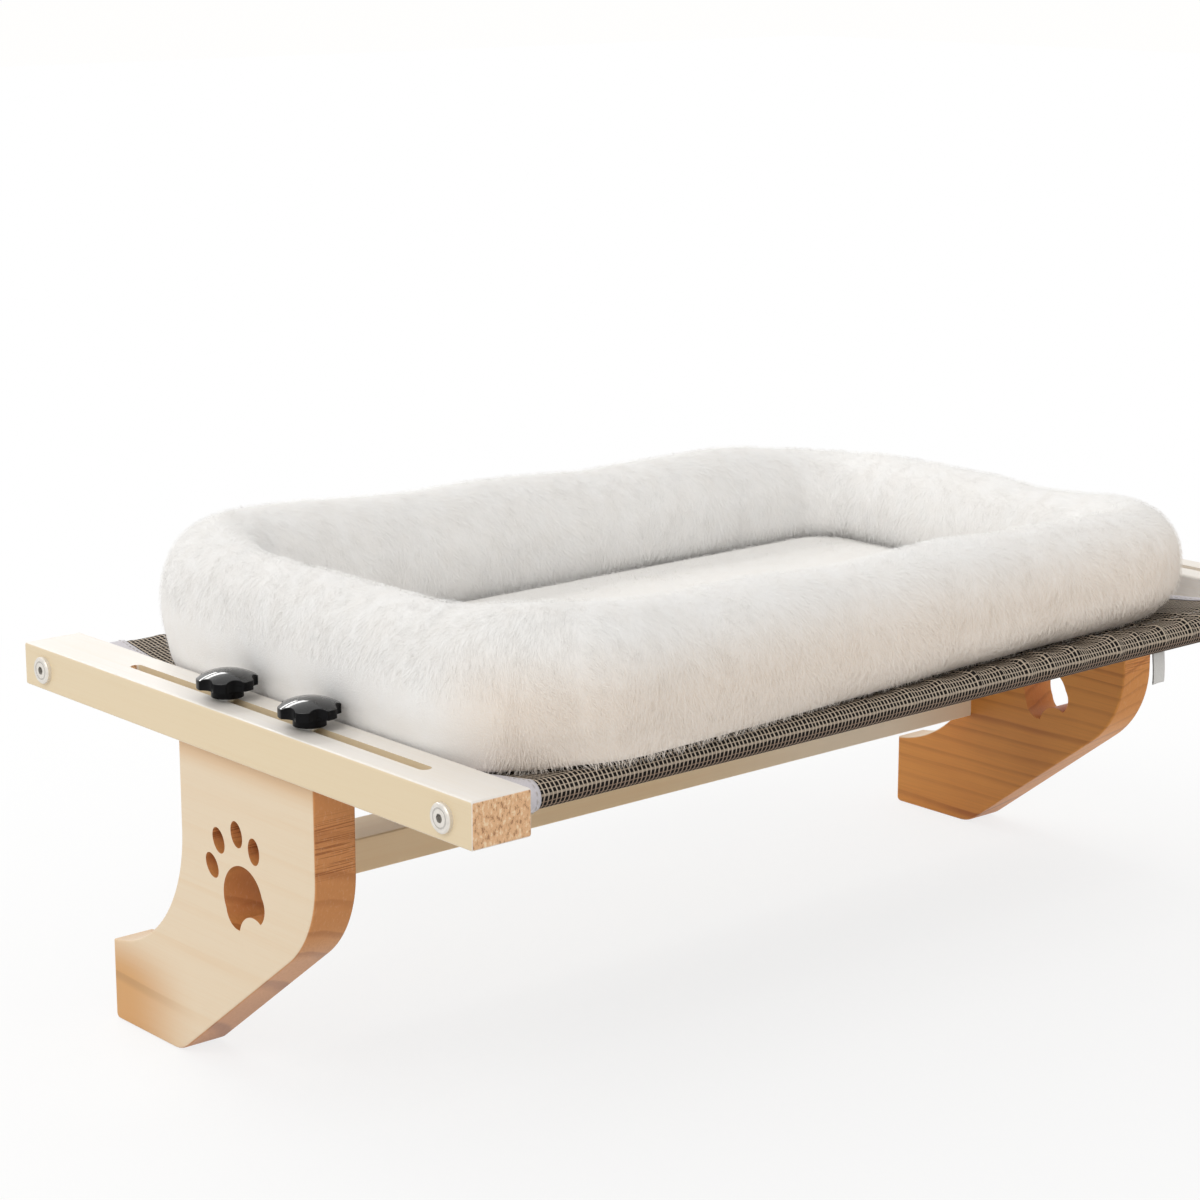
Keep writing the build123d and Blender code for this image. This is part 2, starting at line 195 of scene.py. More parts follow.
class Graph:
    """A Principled material whose node links are made by short calls that return sockets."""

    # Places of the colour sockets among all those that a Mix node has
    COLOUR_A, COLOUR_B, COLOUR_OUT = 6, 7, 2

    def __init__(self, name):
        self.material = bpy.data.materials.new(name)
        self.material.use_nodes = True
        self.tree = self.material.node_tree
        self.shader = self.tree.nodes["Principled BSDF"]

    def put(self, socket, value):
        if isinstance(value, bpy.types.NodeSocket):
            self.tree.links.new(value, socket)
        elif socket.type == "RGBA":
            socket.default_value = (*value, 1)
        else:
            socket.default_value = value

    def add(self, kind, inputs=(), output=0, **settings):
        node = self.tree.nodes.new(kind)
        for name, value in settings.items():
            setattr(node, name, value)
        for key, value in dict(inputs).items():
            self.put(node.inputs[key], value)
        return node.outputs[output]

    def place(self, scale=(1, 1, 1), turn=(0, 0, 0), shift=(0, 0, 0), uv=None):
        if uv:
            source = self.add("ShaderNodeUVMap", uv_map=uv)
        else:
            source = self.add("ShaderNodeTexCoord", output="Object")
        inputs = {"Vector": source, "Location": shift, "Rotation": turn, "Scale": scale}
        return self.add("ShaderNodeMapping", inputs)

    def noise(self, vector, scale=1.0, detail=3.0, roughness=0.5):
        inputs = {"Vector": vector, "Scale": scale, "Detail": detail, "Roughness": roughness}
        return self.add("ShaderNodeTexNoise", inputs, "Fac")

    def math(self, operation, first, second=0.0, third=0.0):
        inputs = {0: first, 1: second, 2: third}
        return self.add("ShaderNodeMath", inputs, operation=operation)

    def span(self, value, low, high, to_low=0.0, to_high=1.0):
        inputs = {"Value": value, "From Min": low, "From Max": high, "To Min": to_low, "To Max": to_high}
        return self.add("ShaderNodeMapRange", inputs, interpolation_type="SMOOTHSTEP")

    def mix(self, share, first, second, blend="MIX"):
        node = self.tree.nodes.new("ShaderNodeMix")
        node.data_type, node.blend_type = "RGBA", blend
        self.put(node.inputs["Factor"], share)
        self.put(node.inputs[self.COLOUR_A], first)
        self.put(node.inputs[self.COLOUR_B], second)
        return node.outputs[self.COLOUR_OUT]

    def split(self, vector):
        node = self.tree.nodes.new("ShaderNodeSeparateXYZ")
        self.put(node.inputs[0], vector)
        return node.outputs

    def bump(self, height, distance, strength):
        inputs = {"Height": height, "Distance": distance, "Strength": strength}
        return self.add("ShaderNodeBump", inputs)

    def reach(self, first, second):
        """Distance from an axis, by the two offsets from it."""
        squares = self.math("ADD", self.math("MULTIPLY", first, first), self.math("MULTIPLY", second, second))
        return self.math("SQRT", squares)

    def finish(self, **inputs):
        for name, value in inputs.items():
            self.put(self.shader.inputs[name.replace("_", " ")], value)
        return self.material


def darker(tone, share):
    return tuple(c * share for c in tone)


def pine(name, light, line, end_tone, *, heart, ring, line_depth, seed, speckle, along="Y",
         wander=0.012, skin=None, toe=None, lit=None, ring_edge=0.35):
    """Varnished pine: rings round a heart line that runs along one axis, fibres, and darker end grain.
    skin = (sign, tone, line) paints the faces that look to that side of X in another tone, partly the
    wood's own and partly painted light and shade: paler on a hook's outer face, darker on a board's. toe,
    for a hook, is the deeper tone of that face at the toe, and also its painted shade just under the
    board; the hook's notch, where it looks up, takes the face's pale tone as painted light. lit paints the
    end towards +X paler."""
    g = Graph(name)
    x, y, z = g.split(g.place())
    across, lengthwise, fibre_scale, fleck_scale = (
        (x, (55, 6, 55), (900, 14, 900), (560, 1, 300)) if along == "Y" else
        (y, (6, 55, 55), (14, 900, 900), (1, 560, 300)))

    # Growth rings, with their drift, uneven spacing and uneven strength
    drift_scale = (lengthwise[0] / 6, lengthwise[1] / 2.5, lengthwise[2] / 6)
    drift = g.noise(g.place(drift_scale, shift=(seed, seed, seed)), 1.0, 2.0)
    fine_drift = g.noise(g.place(lengthwise, shift=(seed, 0, seed)), 1.0, 2.0)
    reach = g.reach(g.math("SUBTRACT", across, heart[0]), g.math("SUBTRACT", z, heart[1]))
    reach = g.math("MULTIPLY_ADD", drift, wander, reach)
    reach = g.math("MULTIPLY_ADD", fine_drift, wander * 0.22, reach)
    spread = g.add("ShaderNodeCombineXYZ", {0: g.math("MULTIPLY", reach, 0.36 / ring), 1: seed})
    uneven = g.noise(spread, 1.0, 1.0)
    reach = g.math("MULTIPLY_ADD", uneven, ring * 2.2, reach)
    turns = g.math("DIVIDE", reach, ring)
    phase = g.math("FRACT", turns)
    own = g.add("ShaderNodeTexWhiteNoise", {"W": g.math("FLOOR", turns)}, "Value",
                noise_dimensions="1D")
    late = g.math("MULTIPLY", g.span(phase, ring_edge, 0.9), g.span(phase, 1.0, 0.93))
    late = g.math("MULTIPLY", late, g.math("MULTIPLY_ADD", own, 0.7, 0.3))
    fibre = g.noise(g.place(fibre_scale, shift=(seed, 0, 0)), 1.0, 3.0, 0.6)
    patch = g.noise(g.place(shift=(seed, seed, 0)), 9.0, 2.0)
    amount = g.math("MULTIPLY", late, g.span(patch, 0.3, 0.7, line_depth * 0.45, line_depth))
    tone = g.mix(amount, light, line)
    tone = g.mix(g.span(patch, 0.25, 0.75, 0.0, 0.22), tone, line)
    tone = g.mix(g.span(fibre, 0.35, 0.75, 0.0, 0.20), tone, line)
    if lit:
        tone = g.mix(g.span(x, 0.0, 0.24, 0.0, 0.8), tone, lit)

    # Faces to the side, partly painted light and shade, and the hook's toe, with painted shade under the
    # board and painted light on the notch
    nx, ny, nz = g.split(g.add("ShaderNodeTexCoord", output="Normal"))
    if skin:
        outer = g.span(g.math("MULTIPLY", nx, skin[0]), 0.55, 0.85)
        shown = outer
        if toe:
            # Painted light: where the hook's notch looks up, it takes the pale face tone
            notch = g.math("MULTIPLY", g.span(nz, 0.3, 0.6), g.span(y, 0.040, 0.050))
            shown = g.math("MAXIMUM", outer, notch)
        side_tone_with_painted_light = g.mix(g.math("MULTIPLY", amount, 0.3), skin[1], skin[2])
        side_tone_with_painted_light = g.mix(g.span(fibre, 0.4, 0.75, 0.0, 0.12), side_tone_with_painted_light, skin[2])
        if toe:
            sweep = g.math("MULTIPLY_ADD", drift, 0.05, y)
            low = g.math("MULTIPLY", g.span(sweep, 0.075, 0.15), g.span(z, -0.118, -0.150))
            # Painted shade just under the board: the face goes half way to the toe tone
            high = g.span(z, -0.016, -0.002, 0.0, 0.5)
            side_tone_with_painted_light = g.mix(g.math("MAXIMUM", low, high), side_tone_with_painted_light, toe)
            streak = g.math("MULTIPLY", low, g.span(late, 0.2, 0.8, 0.0, 0.5))
            side_tone_with_painted_light = g.mix(streak, side_tone_with_painted_light, darker(toe, 0.62))
        tone = g.mix(shown, tone, side_tone_with_painted_light)

    # End grain
    end_on = g.span(g.math("ABSOLUTE", ny if along == "Y" else nx), 0.75, 0.95)
    pores = g.noise(g.place(fleck_scale, turn=(0, 0.3, 0), shift=(seed, 0, 0)), 1.0, 3.0, 0.7)
    ended = g.mix(amount, end_tone, g.mix(1.0, end_tone, END_LINE_SHARE, "MULTIPLY"))
    if toe:
        layer = g.noise(g.place((30, 30, 1500), shift=(0, 0, seed)), 1.0, 2.0)
        near_top = g.math("MULTIPLY", g.span(z, -0.052, -0.046), g.span(z, -0.012, -0.024))
        ended = g.mix(g.math("MULTIPLY", near_top, g.span(layer, 0.5, 0.6, 0.0, 0.75)), ended, line)
    ended = g.mix(g.span(pores, 0.52, 0.66, 0.0, speckle), ended, PORE_TONE)
    ended = g.mix(g.span(pores, 0.46, 0.34, 0.0, speckle * 0.8), ended, FLECK_TONE)
    tone = g.mix(end_on, tone, ended)
    height = g.math("MULTIPLY_ADD", fibre, 0.5, g.math("MULTIPLY", late, -0.5))
    height = g.math("MULTIPLY_ADD", g.math("MULTIPLY", pores, end_on), 2.4 * speckle, height)
    rough = g.math("MULTIPLY_ADD", fibre, 0.16, VARNISH_ROUGHNESS)
    rough = g.math("MULTIPLY_ADD", end_on, 0.25, rough)
    return g.finish(Base_Color=tone, Roughness=rough, Normal=g.bump(height, 0.00012, 0.5),
                    Coat_Weight=0.12, Coat_Roughness=0.3, Specular_IOR_Level=0.4)


def metal(name, tone, rough, grain=(700, 700, 700)):
    """Plain metal with fine marks and faint stains."""
    g = Graph(name)
    brushed = g.noise(g.place(grain), 1.0, 3.0, 0.6)
    stain = g.noise(g.place(), 90.0, 2.0)
    colour = g.mix(g.span(stain, 0.35, 0.7, 0.0, 0.35), tone, darker(tone, 0.72))
    return g.finish(Base_Color=colour, Metallic=1.0,
                    Roughness=g.math("MULTIPLY_ADD", brushed, 0.2, rough - 0.1),
                    Normal=g.bump(brushed, 0.00002, 0.6))


def turned_metal(name, tone, rough):
    """Plated screw head: turned rings round the axis of its rail, with painted shade in a groove and in the
    socket.
    """
    g = Graph(name)
    _, y, z = g.split(g.place())
    aside = g.math("SUBTRACT", g.math("ABSOLUTE", y), RAIL_Y)
    radius = g.reach(aside, g.math("SUBTRACT", z, RAIL_Z))
    turned = g.math("SINE", g.math("MULTIPLY", radius, tau / SCREW_RING))
    groove = g.span(g.math("ABSOLUTE", g.math("SUBTRACT", radius, SCREW_GROOVE)), 0.55 * MM, 0.2 * MM)
    socket = g.span(radius, 2.6 * MM, 1.9 * MM, 0.0, 0.75)
    stain = g.noise(g.place(), 420.0, 3.0)
    colour = g.mix(g.span(stain, 0.35, 0.75, 0.0, 0.3), tone, darker(tone, 0.7))
    # Painted shade in the groove and in the socket's recess
    recess_shade = g.math("MAXIMUM", g.math("MULTIPLY", groove, 0.4), socket)
    colour = g.mix(recess_shade, colour, darker(tone, 0.25))
    height = g.math("MULTIPLY_ADD", turned, 0.06, g.math("MULTIPLY", groove, -1.0))
    return g.finish(Base_Color=colour, Metallic=0.55, Roughness=g.math("MULTIPLY_ADD", stain, 0.2, rough),
                    Normal=g.bump(height, 0.0003, 0.9))


def moulded(name, tone):
    """Black plastic: deep and plain on its sides, polished where it looks up."""
    g = Graph(name)
    haze = g.noise(g.place(), 160.0, 3.0)
    specks = g.noise(g.place(), 2600.0, 2.0)
    colour = g.mix(g.span(haze, 0.3, 0.8), tone, tuple(c * 1.6 + 0.001 for c in tone))
    up = g.split(g.add("ShaderNodeTexCoord", output="Normal"))[2]
    return g.finish(Base_Color=colour, Roughness=g.math("MULTIPLY_ADD", haze, 0.14, 0.22),
                    Normal=g.bump(specks, 0.000004, 0.4), Specular_IOR_Level=0.08,
                    Coat_Weight=g.span(up, 0.25, 0.6), Coat_Roughness=0.03)


def open_weave(name, thread, cross_thread, gap, seam_run):
    """Leno mesh: bright threads round the rails, thinner ones along them, painted shade in the gaps between,
    one heavier thread at seam_run and painted shade on the sleeve below it."""
    g = Graph(name)
    u, v, _ = g.split(g.place(uv="Cloth"))
    wave = g.noise(g.place(uv="Cloth"), 260.0, 2.0)
    shift = g.math("MULTIPLY_ADD", wave, 0.0006, -0.0003)

    def threads(value, size, width, soft):
        place = g.math("FRACT", g.math("DIVIDE", g.math("ADD", value, shift), size))
        off = g.math("ABSOLUTE", g.math("SUBTRACT", place, 0.5))
        return g.span(off, width + soft, width - soft)

    warp = threads(u, WARP_PITCH, 0.16, 0.05)
    weft = threads(v, WEFT_PITCH, 0.105, 0.05)
    stay = g.span(g.math("ABSOLUTE", g.math("SUBTRACT", v, seam_run)), 0.6 * MM, 0.3 * MM)
    weft = g.math("MAXIMUM", weft, stay)
    twist = g.noise(g.place((2600, 500, 1), uv="Cloth"), 1.0, 2.0)
    warp_tone = g.mix(g.span(twist, 0.35, 0.7), darker(thread, 0.74), thread)
    weft_tone = g.mix(g.span(twist, 0.35, 0.7), darker(cross_thread, 0.7), cross_thread)
    # Painted shade in the gaps: the shaded space under the mesh, seen through it, as a near-black tone
    tone = g.mix(weft, gap, weft_tone)
    tone = g.mix(warp, tone, warp_tone)
    # Painted shade on the lower half of the sleeve, below the seam
    shaded = g.mix(1.0, tone, LOWER_SLEEVE_SHADE, "MULTIPLY")
    tone = g.mix(g.span(v, seam_run + 1.0 * MM, seam_run - 4.0 * MM, 0.0, 0.85), tone, shaded)
    height = g.math("MAXIMUM", warp, g.math("MULTIPLY", weft, 0.7))
    return g.finish(Base_Color=tone, Roughness=g.math("MULTIPLY_ADD", height, -0.25, 0.85),
                    Normal=g.bump(height, 0.0005, 0.9), Specular_IOR_Level=0.15)


def tape(name, light, shade, pitch=(0.0009, 0.0012)):
    """Ribbed binding tape or plain cloth, by the cloth's own flat coordinates."""
    g = Graph(name)
    u, v, _ = g.split(g.place(uv="Cloth"))
    ribs = g.math("SINE", g.math("MULTIPLY", v, tau / pitch[1]))
    picks = g.math("SINE", g.math("MULTIPLY", u, tau / pitch[0]))
    weave = g.math("MULTIPLY_ADD", g.math("MULTIPLY", ribs, picks), 0.5, 0.5)
    patch = g.noise(g.place(), 60.0, 3.0)
    tone = g.mix(weave, shade, light)
    tone = g.mix(g.span(patch, 0.35, 0.75, 0.0, 0.4), tone, shade)
    return g.finish(Base_Color=tone, Roughness=g.math("MULTIPLY_ADD", weave, -0.15, 0.85),
                    Normal=g.bump(weave, 0.00018, 0.8), Sheen_Weight=0.25)


def plush(name, light, warm_tone_and_hollow_shade, depth, front=None):
    """Skin or blades of the plush: near-white, warmer in clumps, with painted shade in the nap's hollows and
    a fine nap in the bump. front is the painted shade that the bed's room side takes towards its foot."""
    g = Graph(name)
    _, y, z = g.split(g.place())
    nap = g.noise(g.place(), 900.0, 4.0, 0.7)
    clump = g.noise(g.place(), 75.0, 3.0, 0.55)
    tone = g.mix(g.span(clump, 0.3, 0.7, 0.0, 0.5), light, warm_tone_and_hollow_shade)
    if front:
        # Painted shade on the room side, towards its foot
        share = g.math("MULTIPLY", g.span(y, -0.115, -0.165), g.span(z, 0.088, 0.045))
        tone = g.mix(share, tone, front)
    # Painted shade in the nap's hollows
    tone = g.mix(g.span(nap, 0.6, 0.35, 0.0, 0.3), tone, warm_tone_and_hollow_shade)
    height = g.math("MULTIPLY_ADD", clump, 0.6, nap)
    return g.finish(Base_Color=tone, Roughness=g.math("MULTIPLY_ADD", nap, 0.1, 0.88),
                    Normal=g.bump(height, depth, 0.7), Sheen_Weight=0.25, Sheen_Roughness=0.4,
                    Specular_IOR_Level=0.15)


BOARD_TONES = ((0.88, 0.845, 0.80), (0.83, 0.73, 0.59), (0.81, 0.49, 0.265))
# Outer faces of the boards: partly the wood's own tone, partly painted shade, darker than the top
BOARD_SIDE_TONE_AND_SHADE = ((0.81, 0.67, 0.455), (0.76, 0.56, 0.33))
LEFT_HOOK_TONES = ((0.68, 0.31, 0.105), (0.30, 0.09, 0.02), (0.62, 0.26, 0.085))
RIGHT_HOOK_TONES = ((0.82, 0.345, 0.07), (0.38, 0.10, 0.012), (0.72, 0.29, 0.07))
# Outer faces of the hooks, and their notches: partly the wood's own tone, partly painted light, paler than
# the edges
HOOK_SIDE_TONE_AND_LIGHT = ((0.82, 0.675, 0.49), (0.76, 0.51, 0.28))
# Deeper tone of a hook's toe, also its painted shade just under the board
TOE_TONE_AND_SHADE = (0.66, 0.355, 0.13)
BAR_TONES = ((0.99, 0.76, 0.48), (0.90, 0.62, 0.34), (0.72, 0.47, 0.26))
BAR_LIT = (0.99, 0.90, 0.74)

looks = {
    "end_board_left": pine("board_pine_left", *BOARD_TONES, heart=(-0.27, -0.14), ring=0.0085,
                           line_depth=0.22, skin=(-1, *BOARD_SIDE_TONE_AND_SHADE), seed=1.7, speckle=0.85),
    "end_board_right": pine("board_pine_right", *BOARD_TONES, heart=(0.36, -0.17), ring=0.0095,
                            line_depth=0.22, skin=(1, *BOARD_SIDE_TONE_AND_SHADE), seed=5.3, speckle=0.85),
    "clamp_hook_left": pine("hook_pine_left", *LEFT_HOOK_TONES, heart=(-0.36, -0.215), ring=0.019,
                            line_depth=1.0, wander=0.014, skin=(-1, *HOOK_SIDE_TONE_AND_LIGHT), toe=TOE_TONE_AND_SHADE,
                            ring_edge=0.62, seed=3.1, speckle=0.1),
    "clamp_hook_right": pine("hook_pine_right", *RIGHT_HOOK_TONES, heart=(0.40, -0.30), ring=0.0095,
                             line_depth=0.95, wander=0.022, skin=(1, *HOOK_SIDE_TONE_AND_LIGHT), toe=TOE_TONE_AND_SHADE,
                             ring_edge=0.6, seed=8.9, speckle=0.1),
    "hook_crossbar": pine("bar_pine", *BAR_TONES, along="X", heart=(0.03, -0.2), ring=0.012,
                          line_depth=0.4, lit=BAR_LIT, seed=2.2, speckle=0.3),
}
screw_look = turned_metal("satin_nickel", (0.82, 0.78, 0.72), 0.32)
stud_look = metal("zinc_steel", (0.66, 0.66, 0.64), 0.3)
steel_look = metal("plain_steel", (0.56, 0.56, 0.55), 0.38)
brass_look = metal("turned_brass", (0.74, 0.58, 0.30), 0.32, (500, 500, 2600))
rail_look = metal("rail_steel_tube", (0.50, 0.50, 0.50), 0.42, (60, 1500, 1500))
knob_look = moulded("black_gloss_plastic", (0.004, 0.004, 0.0045))
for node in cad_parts:
    if node.startswith("rail_screw"):
        looks[node] = screw_look
    elif node.startswith("knob_stud"):
        looks[node] = stud_look
    elif node.startswith("star_knob"):
        looks[node] = knob_look
    elif node.startswith("threaded_insert"):
        looks[node] = brass_look
    elif node.startswith(("rail_plug", "crossbar_pin")):
        looks[node] = steel_look
    elif node.endswith("_rail"):
        looks[node] = rail_look
for node, look in looks.items():
    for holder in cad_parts[node].material_slots:
        holder.material = look

hem_look = tape("binding_tape", (0.76, 0.73, 0.76), (0.58, 0.55, 0.59))
tab_look = tape("satin_tape", (0.86, 0.85, 0.82), (0.70, 0.68, 0.65), (0.0004, 0.0006))
base_look = tape("base_canvas", (0.62, 0.58, 0.53), (0.45, 0.42, 0.38), (0.0012, 0.0012))
stitch_look = tape("seam_thread", (0.70, 0.66, 0.60), (0.50, 0.46, 0.42), (0.0003, 0.0004))
# front gives the painted shade on the room side towards its foot
wall_look = plush("wall_plush_skin", (0.955, 0.95, 0.94), (0.93, 0.91, 0.885), 0.0005,
                  front=(0.90, 0.81, 0.72))
wall_hair = plush("wall_plush_hair", (0.965, 0.96, 0.95), (0.94, 0.925, 0.90), 0.0002,
                  front=(0.92, 0.84, 0.755))
floor_look = plush("floor_plush_skin", (0.94, 0.925, 0.90), (0.91, 0.885, 0.85), 0.0005)
floor_hair = plush("floor_plush_hair", (0.96, 0.945, 0.925), (0.94, 0.92, 0.89), 0.0002)


# Hammock

def panel_height(y):
    """Height of the hammock's upper side between the rails, on the arc that its solid has."""
    radius = (RAIL_Y**2 + SLING_SAG**2) / (2 * SLING_SAG)
    inside = np.minimum(np.abs(y), RAIL_Y)
    return PANEL_TOP - SLING_SAG + radius - np.sqrt(radius**2 - inside**2)


def sleeve_profile(radius, drop):
    """Points (y, z) of the cloth in order: under the front seam, round the front rail, over to the rear
    rail, round it and back under the rear seam. drop lowers the panel from its upper side."""
    top = PANEL_TOP - drop
    under = 1.5 * MM
    start = [(-place, float(panel_height(place)) - drop - under) for place in (TUCK_Y, SEAM_Y)]
    turns = np.radians(np.linspace(-38, -270, 44))
    front = [(-RAIL_Y + radius * cos(a), RAIL_Z + radius * sin(a)) for a in turns]
    y = -np.cos(np.linspace(0, pi, 96)) * RAIL_Y
    panel = [(b, float(panel_height(b)) - drop) for b in y[1:-1]]
    front[-1] = (-RAIL_Y, top)
    half = start + front
    rear = [(-b, c) for b, c in reversed(half)]
    return np.array(half + panel + rear)


def resample(profile, step):
    """The same line with its points evenly spaced, and the run at each."""
    run = np.concatenate([[0], np.cumsum(np.linalg.norm(np.diff(profile, axis=0), axis=1))])
    count = max(2, round(run[-1] / step))
    at = np.linspace(0, run[-1], count + 1)
    return np.stack([np.interp(at, run, profile[:, i]) for i in (0, 1)], 1), at


def unit_tangents(profile):
    tangent = np.gradient(profile, axis=0)
    return tangent / np.linalg.norm(tangent, axis=1)[:, None]


def gather(x):
    """How strongly the cloth is gathered on its seams, from the left end to the right."""
    return 0.16 + 0.84 * step_between(x, -0.16, 0.16)


def sling_surface(x, profile, lift):
    """Points over columns x and a profile, raised by lift, with puckers fanning out from both seams."""
    tangent = unit_tangents(profile)
    normal = np.stack([-tangent[:, 1], tangent[:, 0]], 1)
    y, z = profile[:, 0], profile[:, 1]
    from_seam = (SEAM_Y - np.abs(y)) / MM
    # The puckers fade out where the cloth faces down, so that the layer folded under a seam has none
    over = step_between(normal[:, 1], -0.5, 0.4)
    over = over * (1 + 0.9 * step_between(np.abs(y), RAIL_Y - 8 * MM, RAIL_Y + 2 * MM))
    inward, outward = np.exp(-from_seam / PUCKER_REACH_IN), np.exp(from_seam / PUCKER_REACH_OVER)
    reach = np.where(from_seam > 0, inward, outward) * over
    reach = reach * (1 - 0.75 * np.exp(-((from_seam / 1.6) ** 2)))
    column = x[:, None] + 0.0 * y[None, :]
    row = y[None, :] + 0.0 * x[:, None]
    bend = smooth_noise(column, row, 11, 0.03, 2) * 0.004
    jitter = 1.3 * smooth_noise(column, row * 0, 12, 0.05)
    wide = np.abs(np.sin((column + bend) * tau / PUCKER_PITCH + jitter))
    fine = smooth_noise(column, row * 0.25, 13, 0.0065, 2)
    pucker = (PUCKER_HEIGHT * (1 - wide) ** 2 - 0.3 + 0.8 * fine) * MM
    height = gather(column) * reach[None, :] * pucker
    height = height + smooth_noise(column, row, 14, 0.05, 2) * 0.18 * MM + lift
    points = np.empty((len(x), len(y), 3))
    points[..., 0] = column
    points[..., 1] = row + normal[None, :, 0] * height
    points[..., 2] = z[None, :] + normal[None, :, 1] * height
    return points


def cloth_map(x, at, shrink=0.22):
    """Flat cloth coordinates of columns x and profile runs at; gathered cloth takes more width."""
    fine = np.linspace(-0.3, 0.3, 601)
    flat = np.cumsum(1 + shrink * gather(fine)) * (fine[1] - fine[0])
    u = np.interp(x, fine, flat)
    return np.stack(np.broadcast_arrays(u[:, None], at[None, :]), -1).reshape(-1, 2)


def make_sling():
    """Mesh hammock with its two sleeves, on fewer rows away from the rails."""
    profile, at = resample(sleeve_profile(SLEEVE_RADIUS, MESH_DROP), 1.8 * MM)
    near_rail = np.abs(profile[:, 0]) > RAIL_Y - 60 * MM
    kept = near_rail | (np.arange(len(at)) % 3 == 0)
    profile, at = profile[kept], at[kept]
    x = np.linspace(-SLING_HALF, SLING_HALF, 285)
    front = (profile[:, 0] < -RAIL_Y) & (profile[:, 1] < RAIL_Z + 1.6 * MM)
    seam_run = float(at[np.nonzero(front)[0][-1]])
    rib = np.exp(-(((at - seam_run) / (1.3 * MM)) ** 2)) * 0.55 * MM
    points = sling_surface(x, profile, rib[None, :])
    sling = make_object("hammock_mesh", points.reshape(-1, 3), grid_faces(len(x), len(at)))
    set_map(sling, "Cloth", cloth_map(x, at))
    # The third tone is the painted shade seen through the mesh's gaps
    mesh_look = open_weave("leno_mesh", (0.65, 0.545, 0.43), (0.47, 0.385, 0.30),
                           (0.010, 0.008, 0.007), seam_run)
    sling.data.materials.append(mesh_look)
    solidify(sling, 0.8 * MM)
    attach(sling, "frame")
    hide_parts("hammock_sling")
    return sling, float(at[-1])


def make_hem(name, node, sign):
    """Binding folded over one end of the mesh, with its edge turned down."""
    profile, at = resample(sleeve_profile(SLEEVE_RADIUS + HEM_LIFT, 0.0), 2.4 * MM)
    inner, outer = SLING_HALF - 1.5 * MM, SLING_HALF + HEM_WIDTH - 0.8 * MM
    across = np.linspace(inner, outer, 9)
    lift = np.array([0.1, 0.35, 0.45, 0.3, 0.38, 0.45, 0.4, 0.15, -0.6]) * MM
    rows = []
    for x, rise in zip(across, lift):
        ripple = smooth_noise(np.array([[x]]), at[None, :], 21 + sign, 0.018, 2)[0] * 0.22 * MM
        rows.append(sling_surface(np.array([sign * x]), profile, rise + ripple[None, :])[0])
    points = np.array(rows)
    hem = make_object(name, points.reshape(-1, 3), grid_faces(len(across), len(at)))
    flat = np.stack(np.broadcast_arrays(across[:, None], at[None, :]), -1)
    set_map(hem, "Cloth", flat.reshape(-1, 2))
    hem.data.materials.append(hem_look)
    solidify(hem, 0.7 * MM)
    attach(hem, "frame")
    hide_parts(node)
    return hem


def make_stitches(name, runs, size, length, look, body):
    """Short rounded thread stitches: runs gives (centre, direction, up) for each."""
    ring = 6
    profile = np.array([(-0.5, 0.15), (-0.42, 0.8), (-0.15, 1.0), (0.15, 1.0), (0.42, 0.8), (0.5, 0.15)])
    points, faces, maps = [], [], []
    cell = grid_faces(len(profile), ring, wrap_columns=True)
    for number, (centre, direction, up) in enumerate(runs):
        side = np.cross(direction, up)
        for share, width in profile:
            for k in range(ring):
                a = tau * k / ring
                arch = up * size * 0.5 * (1 - (2 * share) ** 2)
                spot = centre + direction * share * length + arch
                points.append(spot + (side * cos(a) + up * sin(a) * 0.7) * size * width * 0.5)
                maps.append((share * length, a * size))
        faces.append(cell + number * len(profile) * ring)
    stitches = make_object(name, np.array(points), np.concatenate(faces))
    set_map(stitches, "Cloth", np.array(maps))
    stitches.data.materials.append(look)
    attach(stitches, body)
    return stitches


def seam_runs(sign):
    """Stitch places along a sleeve's seam."""
    y = sign * SEAM_Y
    z = float(panel_height(y)) + 0.1 * MM
    pitch, margin = 4.2 * MM, 6 * MM
    count = int(2 * (SLING_HALF - margin) / pitch)
    for n in range(count):
        x = -SLING_HALF + margin + (n + 0.5) * pitch
        yield np.array([x, y, z]), np.array([1.0, 0, 0]), np.array([0, 0, 1.0])


def hem_runs(sign):
    """Stitch places along the binding's inner edge, over the panel and round both sleeves."""
    profile, _ = resample(sleeve_profile(SLEEVE_RADIUS + HEM_LIFT, 0.0), 3.6 * MM)
    tangent = unit_tangents(profile)
    for (y, z), (ty, tz) in zip(profile[2:-2], tangent[2:-2]):
        up = np.array([0, -tz, ty])
        x = sign * (SLING_HALF + 1.2 * MM)
        yield np.array([x, y, z]) + up * HEM_LIFT, np.array([0, ty, tz]), up


